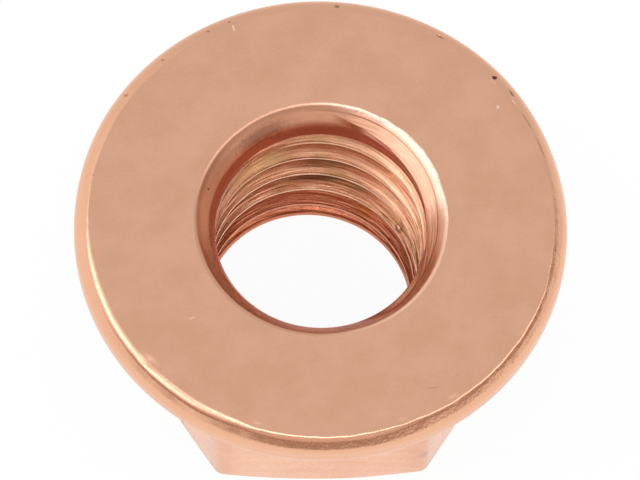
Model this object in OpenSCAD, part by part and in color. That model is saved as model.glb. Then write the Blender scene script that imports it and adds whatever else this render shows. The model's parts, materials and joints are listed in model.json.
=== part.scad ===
// Exhaust manifold nut: a copper plated hexagon nut with a round flange, forged and tapped as one piece.
// It stands on its hexagon end, with the thread's axis along +Z and its bearing face at the top.

/* [Thread] */
// Nominal diameter of the thread
thread_d = 8; // [7:0.25:9]
// Diameter across the crests of the tapped thread
crest_d = 6.8; // [5:0.1:6.9]
// How much wider than the thread the countersink in the bearing face is
face_sink_over = 0.45; // [0.2:0.05:0.8]
// How much wider than the thread the countersink in the hexagon end is
end_sink_over = 0.3; // [0.2:0.05:0.8]
// Included angle of both countersinks
sink_angle = 90; // [80:5:120]
// Width of the small bevel that breaks the edge of the countersink in the bearing face
mouth_break = 0.1; // [0.05:0.01:0.2]

/* [Hexagon] */
// Size across the flats, a little under the 12 mm key that fits it
across_flats = 11.9; // [11:0.1:13]
// How much the six upright edges are rounded off, measured across two of them
corner_loss = 0.3; // [0.1:0.05:0.6]
// How much narrower than the flats the flat end of the hexagon is
end_inset = 0.6; // [0.2:0.1:1]
// Slope of the chamfer that turns the hexagon's corners down, from level
end_slope = 30; // [15:1:45]

/* [Flange] */
// Height from the hexagon end to the bearing face
nut_h = 8; // [7:0.25:12]
// Widest diameter, at the middle of the flange's round edge
flange_d = 16.2; // [15.8:0.1:20]
// Radius of the flange's round edge
edge_r = 0.72; // [0.5:0.02:1]
// How far the top of the round edge lies under the bearing face
edge_drop = 0.02; // [0.01:0.01:0.2]
// How far the round edge stands out of the shoulder and of the flange's back
edge_stand = 0.03; // [0.02:0.01:0.06]
// Slope of the shoulder between the bearing face and the round edge, from level
shoulder_slope = 50; // [40:1:60]
// Slope of the flange's back, from level
back_slope = 25; // [15:1:35]

/* [Hidden] */
// Smoothness of every round face
$fn = 96;
// How far the hole's cut runs past both ends
run_out = 1;

// Middle of the flange's round edge, as radius and height
edge_mid = [flange_d / 2 - edge_r, nut_h - edge_drop - edge_r];

// Radii from the thread's axis
corner_r = across_flats / 2 / cos(30);
end_r = (across_flats - end_inset) / 2;
crest_r = crest_d / 2;
face_sink_r = (thread_d + face_sink_over) / 2;
end_sink_r = (thread_d + end_sink_over) / 2;

// Unit vector from one point towards another
function towards(from, to) = (to - from) / norm(to - from);

// Half section of the flange inside its round edge: bearing face, shoulder and back.
// The back runs in to the middle of the nut's wall, inside the hexagon.
module flange_section() {
    depth = edge_r - edge_stand;
    shoulder_foot = edge_mid + depth * [sin(shoulder_slope), cos(shoulder_slope)];
    back_top = edge_mid + depth * [sin(back_slope), -cos(back_slope)];
    face_r = shoulder_foot[0] - (nut_h - shoulder_foot[1]) / tan(shoulder_slope);
    root_r = (thread_d + across_flats) / 4;
    root_z = back_top[1] - (back_top[0] - root_r) * tan(back_slope);
    polygon([[0, nut_h], [face_r, nut_h], shoulder_foot, back_top, [root_r, root_z], [0, root_z]]);
}

// Flange turned about the thread's axis, with a ring for its round edge
module flange() {
    rotate_extrude() flange_section();
    rotate_extrude() translate(edge_mid) circle(r = edge_r);
}

// Outline of the hexagon, with a flat towards -Y and its corners rounded off
module hexagon_outline() {
    intersection() {
        circle(r = corner_r, $fn = 6);
        circle(r = corner_r - corner_loss / 2);
    }
}

// Hexagon prism that runs up into the flange, with its corners turned down by a cone at the end
module hexagon() {
    intersection() {
        linear_extrude(edge_mid[1]) hexagon_outline();
        cylinder(h = nut_h, r1 = end_r, r2 = end_r + nut_h / tan(end_slope));
    }
}

// Tapped hole at crest size, right through, with a countersink at each end
module thread_hole() {
    widening = tan(sink_angle / 2);
    end_foot = [crest_r, (end_sink_r - crest_r) / widening];
    face_foot = [crest_r, nut_h - (face_sink_r - crest_r) / widening];
    face_mouth = [face_sink_r, nut_h];
    break_low = face_mouth + mouth_break * towards(face_mouth, face_foot);
    break_top = face_mouth + [mouth_break, 0];
    rotate_extrude() polygon([
        [0, -run_out],
        [end_sink_r + run_out * widening, -run_out],
        end_foot,
        face_foot,
        break_low,
        break_top,
        break_top + [0, run_out],
        [0, nut_h + run_out],
    ]);
}

module flange_nut() {
    color("#d4a386") difference() {
        union() {
            flange();
            hexagon();
        }
        thread_hole();
    }
}

flange_nut();
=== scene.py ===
"""Looks of the exhaust manifold nut: its tapped thread, copper plate and wear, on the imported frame."""

import json
import logging
import math
from dataclasses import dataclass, field
from enum import IntEnum

import bmesh
import bpy
from mathutils import Matrix, Vector, noise


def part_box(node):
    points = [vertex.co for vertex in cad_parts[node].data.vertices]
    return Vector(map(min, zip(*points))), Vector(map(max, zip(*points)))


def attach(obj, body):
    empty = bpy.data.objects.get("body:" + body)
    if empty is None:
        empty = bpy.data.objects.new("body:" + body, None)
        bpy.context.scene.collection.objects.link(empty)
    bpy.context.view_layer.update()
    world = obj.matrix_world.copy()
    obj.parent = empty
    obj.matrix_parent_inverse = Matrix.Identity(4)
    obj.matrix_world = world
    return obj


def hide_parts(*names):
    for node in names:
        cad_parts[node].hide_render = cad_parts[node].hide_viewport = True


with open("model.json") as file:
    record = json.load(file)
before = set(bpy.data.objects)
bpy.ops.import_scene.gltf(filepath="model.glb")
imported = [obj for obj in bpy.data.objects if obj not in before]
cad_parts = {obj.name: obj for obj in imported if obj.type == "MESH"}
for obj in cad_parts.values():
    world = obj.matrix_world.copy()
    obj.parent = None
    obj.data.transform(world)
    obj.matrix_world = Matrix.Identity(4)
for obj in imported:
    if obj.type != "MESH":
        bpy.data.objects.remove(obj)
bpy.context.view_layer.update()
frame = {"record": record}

MM = 0.001  # sizes below are in millimetres, and Blender works in metres
WHOLE_TURN = 2 * math.pi
HEX_SIDES = 6
LIP_TURN = 0.03  # how far a countersink's lip turns in under itself, to meet the thread
WHITE = "#ffffff"

Tree = bpy.types.NodeTree  # a material's nodes
Socket = bpy.types.NodeSocket  # what a node takes in or gives out

log = logging.getLogger("manifold_nut")


class Zone(IntEnum):
    """Parts of the nut's surface that were made in different ways, in the order of the material slots."""

    FACE = 0
    SKIN = 1
    SINK = 2
    THREAD = 3


@dataclass(frozen=True)
class Corner:
    """A corner of a turned section, with the straight run that leads to it.

    Args:
        r: distance from the thread's axis, in mm.
        z: height over the hexagon end, in mm.
        soft: radius that rounds the corner, in mm.
        steps: number of parts that the rounding has.
        run: number of parts that the straight run before the corner has.
    """

    r: float
    z: float
    soft: float = 0.0
    steps: int = 1
    run: int = 1


def ease(low: float, high: float, value: float) -> float:
    """Rise smoothly from 0 at low to 1 at high."""
    share = min(1.0, max(0.0, (value - low) / (high - low)))
    return share * share * (3 - 2 * share)


def hump(start: float, full: float, fade: float, end: float, value: float) -> float:
    """Rise smoothly from 0 at start to 1 at full, and fall back from fade to end."""
    return ease(start, full, value) * (1 - ease(fade, end, value))


def sway(angle: float, waves: float, seed: float) -> float:
    """Give an uneven but repeatable sway from -1 to 1 round the axis.

    Args:
        angle: angle round the axis, in radians.
        waves: about how many waves a turn has.
        seed: number that tells one sway from another.

    Returns:
        The sway at that angle, which meets itself after a turn.
    """
    reach = waves / WHOLE_TURN
    return noise.noise(Vector((reach * math.cos(angle), reach * math.sin(angle), seed)))


def chain(corners: list[Corner]) -> list[Vector]:
    """Draw an open section through corners, each rounded as it says.

    Args:
        corners: the corners in order; the first and the last stay sharp.

    Returns:
        Points of the section as (r, z), in mm, as many for any sizes of the same corners.
    """
    points = [Vector((corners[0].r, corners[0].z))]
    for index, corner in enumerate(corners[1:], start=1):
        tip = Vector((corner.r, corner.z))
        arc = [tip]
        if index < len(corners) - 1 and corner.soft > 0:
            after = corners[index + 1]
            inward = (tip - Vector((corners[index - 1].r, corners[index - 1].z))).normalized()
            outward = (Vector((after.r, after.z)) - tip).normalized()
            turn = math.atan2(inward.cross(outward), inward.dot(outward))
            start = tip - inward * corner.soft * math.tan(abs(turn) / 2)
            side = Vector((-inward.y, inward.x)) * math.copysign(corner.soft, turn)
            centre = start + side
            arc = [centre - Matrix.Rotation(turn * step / corner.steps, 2) @ side
                   for step in range(corner.steps + 1)]
        last = points[-1]
        points += [last.lerp(arc[0], part / corner.run) for part in range(1, corner.run)]
        points += arc
    return points


@dataclass(frozen=True)
class Nick:
    """A dent that handling left on the flange.

    Args:
        angle: where it lies round the axis, in degrees from +X towards +Y.
        r: its distance from the axis, in mm.
        z: its height over the hexagon end, in mm.
        width: how far it reaches round the axis, in mm.
        reach: how far it reaches across the edge, in mm.
        depth: how deep it is, in mm; a raised burr is negative.
    """

    angle: float
    r: float
    z: float
    width: float
    reach: float
    depth: float


@dataclass(frozen=True)
class Sink:
    """How the countersink in the face runs at one angle: from its mouth over a bend and a foot to its lip.

    Args:
        angle: where that is round the axis, in degrees from +X towards +Y.
        bend_r: the bend's distance from the axis, in mm.
        bend_deep: the bend's depth under the face, in mm.
        foot_r: the foot's distance from the axis, in mm.
        foot_deep: the foot's depth under the face, in mm.
        foot_soft: radius that rounds the foot, in mm.
        ease_out: power of the change to the next angle; 0 is a smooth rise and fall.
    """

    angle: float
    bend_r: float
    bend_deep: float
    foot_r: float
    foot_deep: float
    foot_soft: float = 0.1
    ease_out: float = 0.0

    def sizes(self) -> Vector:
        """Give the five sizes as one vector, so that two can be mixed."""
        return Vector((self.bend_r, self.bend_deep, self.foot_r, self.foot_deep, self.foot_soft))


@dataclass
class ManifoldNut:
    """The flange nut: one forged piece with a hexagon, a round flange and a tapped hole.

    The overall sizes and the thread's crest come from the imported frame, so that the mesh stays in its solid.
    Sizes are in mm and slopes in degrees. The front is towards -Y.

    Args:
        nut_h: height from the hexagon end to the bearing face.
        flange_d: widest diameter.
        crest_r: distance of the thread's crests from its axis.
        across_flats: size of the hexagon.
        corner_soft: radius of its six upright edges.
        hexagon_aside: how far it lies off the axis, towards +X.
        end_r: where the chamfer of its end starts.
        end_slope: slope of that chamfer, from level.
        chamfer_soft: radius of the edge between the chamfer and the flats.
        knocked: how much rounder that edge is at the one corner that took a knock.
        edge_r: radius of the flange's round edge.
        edge_front: how much sharper that edge is at the front.
        edge_far: how much sharper it is on the far side.
        edge_deep: depth of the round edge's middle under the face.
        edge_band: height of the straight band in it.
        front_lift: how much higher its middle lies at the front.
        right_lift: how much higher its middle lies at the front right.
        swell_lean: how much flatter than the rest the shoulder starts.
        swell_front: how much flatter still it starts at the front.
        swell_run: least length of that flatter start.
        swell_soft: greatest radius between the two parts of the shoulder.
        face_r: where the bearing face ends.
        face_run: how far inside the outer edge its even part ends.
        face_aside: how far it lies off the axis, towards -Y.
        face_wide: how much further it reaches at the front right.
        face_soft: radius of its edge.
        face_rounder: how much rounder that edge is at the front left.
        edge_sway: how uneven that edge is.
        back_slope: slope of the flange's back, from level.
        thread_r: distance of the thread's roots from its axis.
        pitch: climb of the thread in a turn.
        crest_flat: width of its crests.
        root_flat: width of its roots.
        first_crest: depth of its first crest under the face.
        lean: how far its axis has moved towards -X at the hexagon end.
        mouth_r: where the countersink in the face starts.
        mouth_aside: how far it lies off the axis, towards +Y.
        mouth_soft: radius of the mouth's edge.
        mouth_sway: how uneven that edge is.
        sinks: how that countersink runs at some angles round the axis.
        lip: radius and depth of its lip.
        end_mouth_r: where the countersink in the hexagon end starts.
        end_lip: radius and height of its lip.
        body_steps: number of steps round the body.
        thread_steps: number of steps in a turn of the thread.
        nicks: dents that handling left.
    """

    nut_h: float
    flange_d: float
    crest_r: float
    across_flats: float = 11.9
    corner_soft: float = 0.35
    hexagon_aside: float = 0.035
    end_r: float = 5.72
    end_slope: float = 30.0
    chamfer_soft: float = 0.12
    knocked: float = 0.2
    edge_r: float = 0.72
    edge_front: float = 0.28
    edge_far: float = 0.25
    edge_deep: float = 0.745
    edge_band: float = 0.2
    front_lift: float = 0.17
    right_lift: float = 0.06
    swell_lean: float = 3.0
    swell_front: float = 7.0
    swell_run: float = 0.16
    swell_soft: float = 0.4
    face_r: float = 7.655
    face_run: float = 0.9
    face_aside: float = 0.07
    face_wide: float = 0.04
    face_soft: float = 0.11
    face_rounder: float = 0.25
    edge_sway: float = 0.02
    back_slope: float = 25.0
    thread_r: float = 4.0
    pitch: float = 1.25
    crest_flat: float = 0.13
    root_flat: float = 0.16
    first_crest: float = 1.39
    lean: float = 0.31
    mouth_r: float = 4.12
    mouth_aside: float = 0.06
    mouth_soft: float = 0.22
    mouth_sway: float = 0.03
    sinks: list[Sink] = field(default_factory=lambda: [
        Sink(angle=-80, bend_r=3.8, bend_deep=0.36, foot_r=3.56, foot_deep=0.71),
        Sink(angle=-45, bend_r=3.86, bend_deep=0.42, foot_r=3.7, foot_deep=0.72),
        Sink(angle=0, bend_r=3.47, bend_deep=0.6, foot_r=3.5, foot_deep=0.75, foot_soft=0.05),
        Sink(angle=14, bend_r=3.45, bend_deep=0.43, foot_r=3.6, foot_deep=0.68, ease_out=2.5),
        Sink(angle=83, bend_r=3.915, bend_deep=0.235, foot_r=3.66, foot_deep=0.47, foot_soft=0.8),
        Sink(angle=180, bend_r=3.9, bend_deep=0.235, foot_r=3.64, foot_deep=0.5, foot_soft=0.4),
        Sink(angle=235, bend_r=3.82, bend_deep=0.33, foot_r=3.57, foot_deep=0.69, foot_soft=0.2),
        Sink(angle=280, bend_r=3.8, bend_deep=0.36, foot_r=3.56, foot_deep=0.71),
    ])
    lip: tuple[float, float] = (3.466, 0.895)
    end_mouth_r: float = 4.15
    end_lip: tuple[float, float] = (3.41, 0.72)
    body_steps: int = 480
    thread_steps: int = 192
    nicks: list[Nick] = field(default_factory=lambda: [
        Nick(angle=221.5, r=7.56, z=8.0, width=0.42, reach=0.26, depth=0.05),
        Nick(angle=216.0, r=7.62, z=7.98, width=0.3, reach=0.16, depth=-0.018),
        Nick(angle=34.0, r=7.7, z=7.98, width=0.3, reach=0.16, depth=0.05),
        Nick(angle=30.0, r=7.72, z=7.95, width=0.7, reach=0.12, depth=0.025),
        Nick(angle=41.0, r=7.7, z=8.0, width=0.14, reach=0.1, depth=0.06),
        Nick(angle=58.4, r=7.74, z=7.97, width=0.22, reach=0.1, depth=0.04),
        Nick(angle=253.0, r=7.6, z=8.0, width=0.25, reach=0.14, depth=0.03),
        Nick(angle=289.0, r=7.62, z=7.99, width=0.22, reach=0.12, depth=0.03),
        Nick(angle=303.0, r=7.66, z=7.97, width=0.35, reach=0.16, depth=0.03),
        Nick(angle=327.0, r=7.68, z=7.97, width=0.28, reach=0.14, depth=0.035),
    ])

    @classmethod
    def from_frame(cls) -> "ManifoldNut":
        """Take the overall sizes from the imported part.

        Returns:
            The nut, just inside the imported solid.
        """
        low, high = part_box("flange_nut")
        thread = next(mount for mount in frame["record"]["mounts"] if mount["name"] == "thread")
        clear = 0.006  # keeps the uneven rim inside the solid's box
        wide, deep, tall = ((top - bottom) / MM for bottom, top in zip(low, high))
        return cls(nut_h=tall, flange_d=min(wide, deep) - clear, crest_r=thread["dims"]["r_mm"])

    def hexagon_r(self, angle: float) -> float:
        """Give the hexagon's distance from the axis, with its upright edges rounded.

        Args:
            angle: angle round the axis, in radians; a flat faces -Y.

        Returns:
            The distance in mm.
        """
        flat_r = self.across_flats / 2
        sector = WHOLE_TURN / HEX_SIDES
        off_flat = abs((angle % sector) - sector / 2)
        straight_end = math.atan2((flat_r - self.corner_soft) * math.tan(sector / 2), flat_r)
        if off_flat <= straight_end:
            return flat_r / math.cos(off_flat)
        middle = (flat_r - self.corner_soft) / math.cos(sector / 2)
        off_corner = sector / 2 - off_flat
        return middle * math.cos(off_corner) + math.sqrt(
            self.corner_soft ** 2 - (middle * math.sin(off_corner)) ** 2)

    def body_section(self, angle: float) -> list[Vector]:
        """Draw the nut's half section, from the countersink in its face round to the one in its end.

        Args:
            angle: angle round the axis, in radians.

        Returns:
            Points of the section as (r, z), in mm.
        """
        top, outer = self.nut_h, self.flange_d / 2
        hex_r = self.hexagon_r(angle) + self.hexagon_aside * math.cos(angle)
        way = math.degrees(angle) % 360
        back = math.radians(self.back_slope)
        edge_low = top - self.edge_deep - self.edge_band - self.edge_r * math.tan(math.radians(45) - back / 2)
        burred = 0.3 + hump(0, 15, 60, 80, way)  # most where the tap pushed up a burr, at the far right
        mouth_r = (self.mouth_r + self.mouth_aside * math.sin(angle)
                   + self.mouth_sway * burred * (sway(angle, 60, 9.5) + 0.6 * sway(angle, 110, 3.5)))
        root_z = edge_low - (outer - hex_r) * math.tan(back)
        chamfer_z = (hex_r - self.end_r) * math.tan(math.radians(self.end_slope))
        chamfer_soft = self.chamfer_soft + self.knocked * hump(280, 297, 303, 320, way)
        lip = Vector((self.lip[0], top - self.lip[1]))
        bend_r, bend_deep, foot_r, foot_deep, foot_soft = self.sink_sizes(angle)
        end_lip_r, end_lip_z = self.end_lip
        aside = -self.lean * math.cos(angle)
        end_lip_r = aside + math.sqrt(end_lip_r ** 2 - (self.lean * math.sin(angle)) ** 2)
        return chain([
            Corner(lip.x + LIP_TURN, lip.y - LIP_TURN),
            Corner(lip.x, lip.y, soft=0.02, steps=3),
            Corner(foot_r, top - foot_deep, soft=foot_soft, steps=5, run=3),
            Corner(bend_r, top - bend_deep, soft=0.04, steps=3, run=4),
            Corner(mouth_r, top, soft=self.mouth_soft, steps=10, run=5),
            Corner(outer - self.face_run, top, run=4),
            *self.rim(angle),
            Corner(outer, edge_low, soft=self.edge_r, steps=12, run=1),
            Corner(hex_r, root_z, soft=0.3, steps=5, run=4),
            Corner(hex_r, chamfer_z, soft=chamfer_soft, steps=4, run=4),
            Corner(self.end_r, 0, soft=0.15, steps=4, run=3),
            Corner(self.end_mouth_r, 0, soft=0.1, steps=3, run=3),
            Corner(end_lip_r, end_lip_z, soft=0.02, steps=3, run=3),
            Corner(end_lip_r + LIP_TURN, end_lip_z + LIP_TURN),
        ])

    def rim(self, angle: float) -> list[Corner]:
        """Shape the flange's edge at one angle: its shoulder swells a little and runs on to the round rim.

        The shoulder is longest at the front, where the blank filled the die last, and almost level on the
        far side.

        Args:
            angle: angle round the axis, in radians.

        Returns:
            The corners at the face's edge, in the shoulder and at the rim.
        """
        way = math.degrees(angle) % 360
        far = hump(8, 45, 150, 182, way)
        front = hump(245, 262, 280, 297, way)
        right = hump(285, 305, 335, 352, way)
        outer, top = self.flange_d / 2, self.nut_h
        edge_r = self.edge_r - self.edge_far * far - self.edge_front * front
        lift = self.edge_far * far + self.front_lift * front + self.right_lift * right
        middle = Vector((outer - edge_r, top - self.edge_deep + lift))
        near_rim = 0.995  # keeps a line's start outside the rim

        def slope_from(point: Vector) -> float:
            """Give the slope of the line from a point to where it touches the rim, in radians."""
            gap = point - middle
            return math.atan2(gap.x, gap.y) + math.acos(min(near_rim, edge_r / gap.length))

        uneven = self.edge_sway * (sway(angle, 150, 2.5) + sway(angle, 34, 6.5) + sway(angle, 9, 7.5))
        face_r = self.face_r - self.face_aside * math.sin(angle) + self.face_wide * right
        edge = Vector((face_r + uneven, top))
        edge_soft = self.face_soft + self.face_rounder * hump(172, 200, 238, 262, way)
        upper = slope_from(edge) - math.radians(self.swell_lean + self.swell_front * front)
        spare = 0.05  # straight length that is left after the rounding of the face's edge
        run = max(self.swell_run, edge_soft * math.tan(upper / 2) + spare)
        swell = edge + Vector((math.cos(upper), -math.sin(upper))) * run
        lower = slope_from(swell)
        left = math.sqrt(max(0.0, (swell - middle).length_squared - edge_r ** 2))
        taken = 0.7 * min(left, 0.06)  # how much of the shoulder the swell's rounding may take
        swell_soft = min(self.swell_soft, taken / math.tan((lower - upper) / 2))
        return [
            Corner(edge.x, edge.y, soft=edge_soft, steps=8, run=7),
            Corner(swell.x, swell.y, soft=swell_soft, steps=3, run=1),
            Corner(outer, swell.y - (outer - swell.x) * math.tan(lower), soft=edge_r, steps=12, run=3),
        ]

    def sink_sizes(self, angle: float) -> Vector:
        """Tell where the countersink bends between its mouth and its lip.

        On the far side it has a steep foot, on the near side it runs straight, and between them the tap's
        first cut left a wedge of the thread's flank, whose sharp edge stands out over the hole.

        Args:
            angle: angle round the axis, in radians.

        Returns:
            Radius and depth of the bend, radius and depth of the foot, and the foot's rounding, in mm.
        """
        first = self.sinks[0].angle
        way = (math.degrees(angle) - first) % 360 + first
        for before, after in zip(self.sinks, self.sinks[1:]):
            if way <= after.angle:
                share = ease(before.angle, after.angle, way)
                if before.ease_out:
                    share = ((way - before.angle) / (after.angle - before.angle)) ** before.ease_out
                return before.sizes().lerp(after.sizes(), share)
        return self.sinks[-1].sizes()

    def build_body(self) -> bmesh.types.BMesh:
        """Turn the section about the axis, then bring every point to the section at its own angle.

        Returns:
            The nut's outside as a mesh in mm, open at both mouths of the hole.
        """
        mesh = bmesh.new()
        ring = mesh.verts.layers.int.new("ring")
        section = self.body_section(0)
        line = []
        for index, point in enumerate(section):
            vert = mesh.verts.new((point.x, 0, point.y))
            vert[ring] = index
            line.append(vert)
        edges = [mesh.edges.new(pair) for pair in zip(line, line[1:])]
        bmesh.ops.spin(mesh, geom=line + edges, cent=(0, 0, 0), axis=(0, 0, 1), dvec=(0, 0, 0),
                       angle=WHOLE_TURN, steps=self.body_steps, use_merge=True, use_duplicate=False)
        sections: dict[int, tuple[float, list[Vector]]] = {}
        crowding = 0.85  # how strongly the steps gather at the hexagon's upright edges
        for vert in mesh.verts:
            turn = math.atan2(vert.co.y, vert.co.x)
            step = round(turn / WHOLE_TURN * self.body_steps) % self.body_steps
            if step not in sections:
                even = WHOLE_TURN * step / self.body_steps
                angle = even - crowding / HEX_SIDES * math.sin(HEX_SIDES * even)
                sections[step] = angle, self.body_section(angle)
            angle, points = sections[step]
            point = points[vert[ring]]
            vert.co = (point.x * math.cos(angle), point.x * math.sin(angle), point.y)
        return mesh

    def build_thread(self) -> bmesh.types.BMesh:
        """Wind one pitch of the thread's section up the hole and cut it off under both lips.

        Returns:
            The tapped wall as a mesh in mm, open at both ends.
        """
        mesh = bmesh.new()
        root, crest = self.root_flat / 2, self.crest_flat / 2
        root_soft, crest_soft = 0.07, 0.05
        half = self.pitch / 2
        section = chain([
            Corner(self.thread_r, -half),
            Corner(self.thread_r, -half + root, soft=root_soft, steps=4),
            Corner(self.crest_r, -crest, soft=crest_soft, steps=4, run=8),
            Corner(self.crest_r, crest, soft=crest_soft, steps=4, run=1),
            Corner(self.thread_r, half - root, soft=root_soft, steps=4, run=8),
            Corner(self.thread_r, half),
        ])
        line = [mesh.verts.new((0, point.x, point.y)) for point in section]
        edges = [mesh.edges.new(pair) for pair in zip(line, line[1:])]
        bmesh.ops.spin(mesh, geom=line + edges, cent=(0, 0, 0), axis=(0, 0, 1),
                       dvec=(0, 0, self.pitch / self.thread_steps), angle=WHOLE_TURN,
                       steps=self.thread_steps, use_merge=False, use_duplicate=False)
        bmesh.ops.translate(mesh, verts=mesh.verts, vec=(0, 0, self.nut_h - self.first_crest + self.pitch))
        one_turn = list(mesh.verts) + list(mesh.edges) + list(mesh.faces)
        spare = 3  # turns past both ends, which are cut off below
        turns = math.ceil(self.nut_h / self.pitch) + spare
        for turn in range(1, turns):
            copy = bmesh.ops.duplicate(mesh, geom=one_turn)["geom"]
            verts = [part for part in copy if isinstance(part, bmesh.types.BMVert)]
            bmesh.ops.translate(mesh, verts=verts, vec=(0, 0, -self.pitch * turn))
        bmesh.ops.remove_doubles(mesh, verts=mesh.verts, dist=0.004)
        under = 1.5 * LIP_TURN  # how far under a lip the thread is cut off
        top, bottom = self.nut_h - self.lip[1] - under, self.end_lip[1] + under
        run_out = self.end_lip[0] + LIP_TURN
        whole = 0.45  # how far from its ends the thread has its full height
        for vert in mesh.verts:
            reach = math.hypot(vert.co.x, vert.co.y)
            cleared = self.lip[0] - (self.lip[0] - self.crest_r) * ease(0.2, whole, top - vert.co.z)
            cleared = max(reach, cleared)
            push = (cleared + (run_out - cleared) * (1 - ease(0.05, whole, vert.co.z - bottom))) / reach
            vert.co.x = vert.co.x * push - self.lean * (top - vert.co.z) / (top - bottom)
            vert.co.y *= push
        for plane_z, up in ((top, 1), (bottom, -1)):
            bmesh.ops.bisect_plane(mesh, geom=list(mesh.verts) + list(mesh.edges) + list(mesh.faces),
                                   dist=1e-5, plane_co=(0, 0, plane_z), plane_no=(0, 0, up),
                                   clear_outer=True, clear_inner=False)
        return mesh

    def wear(self, mesh: bmesh.types.BMesh) -> None:
        """Dent the edges where handling marked them.

        Args:
            mesh: the closed nut, in mm.
        """
        mesh.normal_update()
        for vert in mesh.verts:
            reach = math.hypot(vert.co.x, vert.co.y)
            for nick in self.nicks:
                way = math.radians(nick.angle)
                middle = Vector((nick.r * math.cos(way), nick.r * math.sin(way), nick.z))
                gap = vert.co - middle
                if gap.length > nick.width + nick.reach:
                    continue
                around = gap.dot(Vector((-math.sin(way), math.cos(way), 0))) / nick.width
                across = math.hypot(reach - nick.r, vert.co.z - nick.z) / nick.reach
                share = max(0.0, 1 - around ** 2 - across ** 2)
                vert.co -= vert.normal * nick.depth * share * share
                vert.co.z = min(vert.co.z, self.nut_h)

    def build(self) -> bpy.types.Object:
        """Join the body and the thread into one closed mesh.

        Returns:
            The nut's object, in metres, whose faces are numbered by zone.
        """
        mesh = self.build_body()
        thread = self.build_thread()
        for part in mesh.faces:
            part.material_index = self.zone(part.calc_center_median())
        for part in thread.faces:
            part.material_index = Zone.THREAD
        strip = bpy.data.meshes.new("thread_strip")
        thread.to_mesh(strip)
        thread.free()
        mesh.from_mesh(strip)
        bpy.data.meshes.remove(strip)
        rim = [edge for edge in mesh.edges if edge.is_boundary]
        for at_face in (True, False):
            loops = [edge for edge in rim if (edge.verts[0].co.z > self.nut_h / 2) == at_face]
            for part in bmesh.ops.bridge_loops(mesh, edges=loops)["faces"]:
                part.material_index = Zone.THREAD
        bmesh.ops.recalc_face_normals(mesh, faces=mesh.faces)
        self.wear(mesh)
        for part in mesh.faces:
            part.smooth = True
        bmesh.ops.scale(mesh, vec=(MM, MM, MM), verts=mesh.verts)
        data = bpy.data.meshes.new("flange_nut_body")
        mesh.to_mesh(data)
        mesh.free()
        nut = bpy.data.objects.new("flange_nut_body", data)
        bpy.context.collection.objects.link(nut)
        nut.modifiers.new("even_shading", "WEIGHTED_NORMAL")
        return nut

    def zone(self, point: Vector) -> Zone:
        """Tell which way of making gave the outside at a point.

        Args:
            point: the point, in mm.

        Returns:
            The zone that it lies in.
        """
        level, mouth_edge = 0.002, 0.4  # how even the face is, and how wide the rounding of its mouth
        if point.z > self.nut_h - level:
            return Zone.FACE
        in_face = point.z > self.nut_h / 2
        mouth_r = self.mouth_r + mouth_edge if in_face else self.end_mouth_r
        return Zone.SINK if math.hypot(point.x, point.y) < mouth_r else Zone.SKIN


def linear(hex_colour: str) -> tuple[float, float, float, float]:
    """Turn an sRGB colour to linear light.

    Args:
        hex_colour: the colour as hex, such as "#d4a386".

    Returns:
        Red, green, blue and alpha.
    """
    parts = [int(hex_colour[start:start + 2], 16) / 255 for start in (1, 3, 5)]
    light = [part / 12.92 if part <= 0.04045 else ((part + 0.055) / 1.055) ** 2.4 for part in parts]
    return light[0], light[1], light[2], 1.0


def per_metre(size_mm: float) -> float:
    """Give the pattern scale whose features are about this many millimetres across."""
    return 1 / (size_mm * MM)


def add_node(tree: Tree, kind: str, inputs: dict | None = None, **settings) -> bpy.types.Node:
    """Add a shader node with its settings and links.

    Args:
        tree: the node tree that it joins.
        kind: the node's type name.
        inputs: for a socket's name or number, its value or the socket that feeds it.
        settings: other attributes of the node.

    Returns:
        The new node.
    """
    node = tree.nodes.new(kind)
    for name, value in settings.items():
        setattr(node, name, value)
    for key, value in (inputs or {}).items():
        if isinstance(value, Socket):
            tree.links.new(value, node.inputs[key])
        else:
            node.inputs[key].default_value = value
    return node


def wound(tree: Tree, place: Socket, lead: float, lean: float, still: float) -> Socket:
    """Turn a place on the nut to its distance from the axis, its height over a helix and its way round.

    The way round is drawn together, so that a pattern on this runs in long lines round the hole.

    Args:
        tree: the material's node tree.
        place: the place on the nut.
        lead: how far the helix climbs in a turn, in mm.
        lean: how far its axis leans towards -X for each mm downwards.
        still: height at which the leaning axis meets the nut's own, in mm.

    Returns:
        The three as a vector, in metres.
    """
    drawn_together = 0.00018  # metres for each radian, against about 0.0037 at the thread
    moved = add_node(tree, "ShaderNodeVectorMath", {0: place, 1: (lean * still * MM, 0, 0)}, operation="ADD")
    split = add_node(tree, "ShaderNodeSeparateXYZ", {0: moved.outputs["Vector"]}).outputs
    across = add_node(tree, "ShaderNodeMath", {0: split["Z"], 1: -lean, 2: split["X"]},
                      operation="MULTIPLY_ADD").outputs["Value"]
    flat = add_node(tree, "ShaderNodeCombineXYZ", {"X": across, "Y": split["Y"]}).outputs["Vector"]
    reach = add_node(tree, "ShaderNodeVectorMath", {0: flat}, operation="LENGTH").outputs["Value"]
    turn = add_node(tree, "ShaderNodeMath", {0: across, 1: split["Y"]}, operation="ARCTAN2").outputs["Value"]
    climb = add_node(tree, "ShaderNodeMath", {0: turn, 1: lead * MM / WHOLE_TURN, 2: split["Z"]},
                     operation="MULTIPLY_ADD").outputs["Value"]
    around = add_node(tree, "ShaderNodeMath", {0: turn, 1: drawn_together},
                      operation="MULTIPLY").outputs["Value"]
    return add_node(tree, "ShaderNodeCombineXYZ", {"X": reach, "Y": climb, "Z": around}).outputs["Vector"]


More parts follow.
